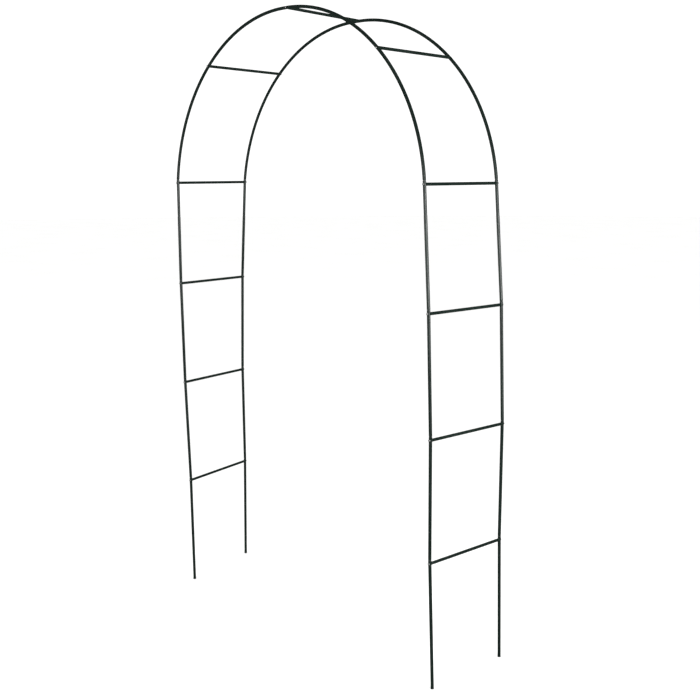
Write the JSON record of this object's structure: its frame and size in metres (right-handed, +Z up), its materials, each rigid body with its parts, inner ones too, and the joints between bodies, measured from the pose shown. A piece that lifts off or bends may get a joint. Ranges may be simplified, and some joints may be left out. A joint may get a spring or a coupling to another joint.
{
  "type": "metal trellis arch",
  "caption": "Free-standing garden arch of thin dark-green steel tube: two plugged-together hoops joined by screwed ladder rungs, for climbing plants.",
  "frame": {"origin": "on the ground, in the middle of the walkway, halfway between the two hoops", "axes": "+Z up; +X to the right across the walkway; -Y is the front, where the front hoop stands"},
  "size_m": [1.5236, 0.3796, 2.3988],
  "materials": {
    "green_powder_coat": "satin dark green powder coat on steel tube",
    "zinc_plate": "bright zinc plate on pan-head screws"
  },
  "bodies": {
    "root": {"front_left_foot_tube": "green_powder_coat", "front_left_lower_tube": "green_powder_coat", "front_left_middle_tube": "green_powder_coat", "front_left_upper_tube": "green_powder_coat", "front_left_shoulder_tube": "green_powder_coat", "front_left_crown_tube": "green_powder_coat", "front_right_foot_tube": "green_powder_coat", "front_right_lower_tube": "green_powder_coat", "front_right_middle_tube": "green_powder_coat", "front_right_upper_tube": "green_powder_coat", "front_right_shoulder_tube": "green_powder_coat", "front_right_crown_tube": "green_powder_coat", "rear_left_foot_tube": "green_powder_coat", "rear_left_lower_tube": "green_powder_coat", "rear_left_middle_tube": "green_powder_coat", "rear_left_upper_tube": "green_powder_coat", "rear_left_shoulder_tube": "green_powder_coat", "rear_left_crown_tube": "green_powder_coat", "rear_right_foot_tube": "green_powder_coat", "rear_right_lower_tube": "green_powder_coat", "rear_right_middle_tube": "green_powder_coat", "rear_right_upper_tube": "green_powder_coat", "rear_right_shoulder_tube": "green_powder_coat", "rear_right_crown_tube": "green_powder_coat", "left_bottom_rung": "green_powder_coat", "left_lower_rung": "green_powder_coat", "left_upper_rung": "green_powder_coat", "left_springing_rung": "green_powder_coat", "left_arch_rung": "green_powder_coat", "right_bottom_rung": "green_powder_coat", "right_lower_rung": "green_powder_coat", "right_upper_rung": "green_powder_coat", "right_springing_rung": "green_powder_coat", "right_arch_rung": "green_powder_coat", "apex_rung": "green_powder_coat", "front_left_bottom_screw": "zinc_plate", "front_left_lower_screw": "zinc_plate", "front_left_upper_screw": "zinc_plate", "front_left_springing_screw": "zinc_plate", "front_left_arch_screw": "zinc_plate", "front_right_bottom_screw": "zinc_plate", "front_right_lower_screw": "zinc_plate", "front_right_upper_screw": "zinc_plate", "front_right_springing_screw": "zinc_plate", "front_right_arch_screw": "zinc_plate", "front_apex_screw": "zinc_plate", "rear_left_bottom_screw": "zinc_plate", "rear_left_lower_screw": "zinc_plate", "rear_left_upper_screw": "zinc_plate", "rear_left_springing_screw": "zinc_plate", "rear_left_arch_screw": "zinc_plate", "rear_right_bottom_screw": "zinc_plate", "rear_right_lower_screw": "zinc_plate", "rear_right_upper_screw": "zinc_plate", "rear_right_springing_screw": "zinc_plate", "rear_right_arch_screw": "zinc_plate", "rear_apex_screw": "zinc_plate"}
  },
  "joints": []
}
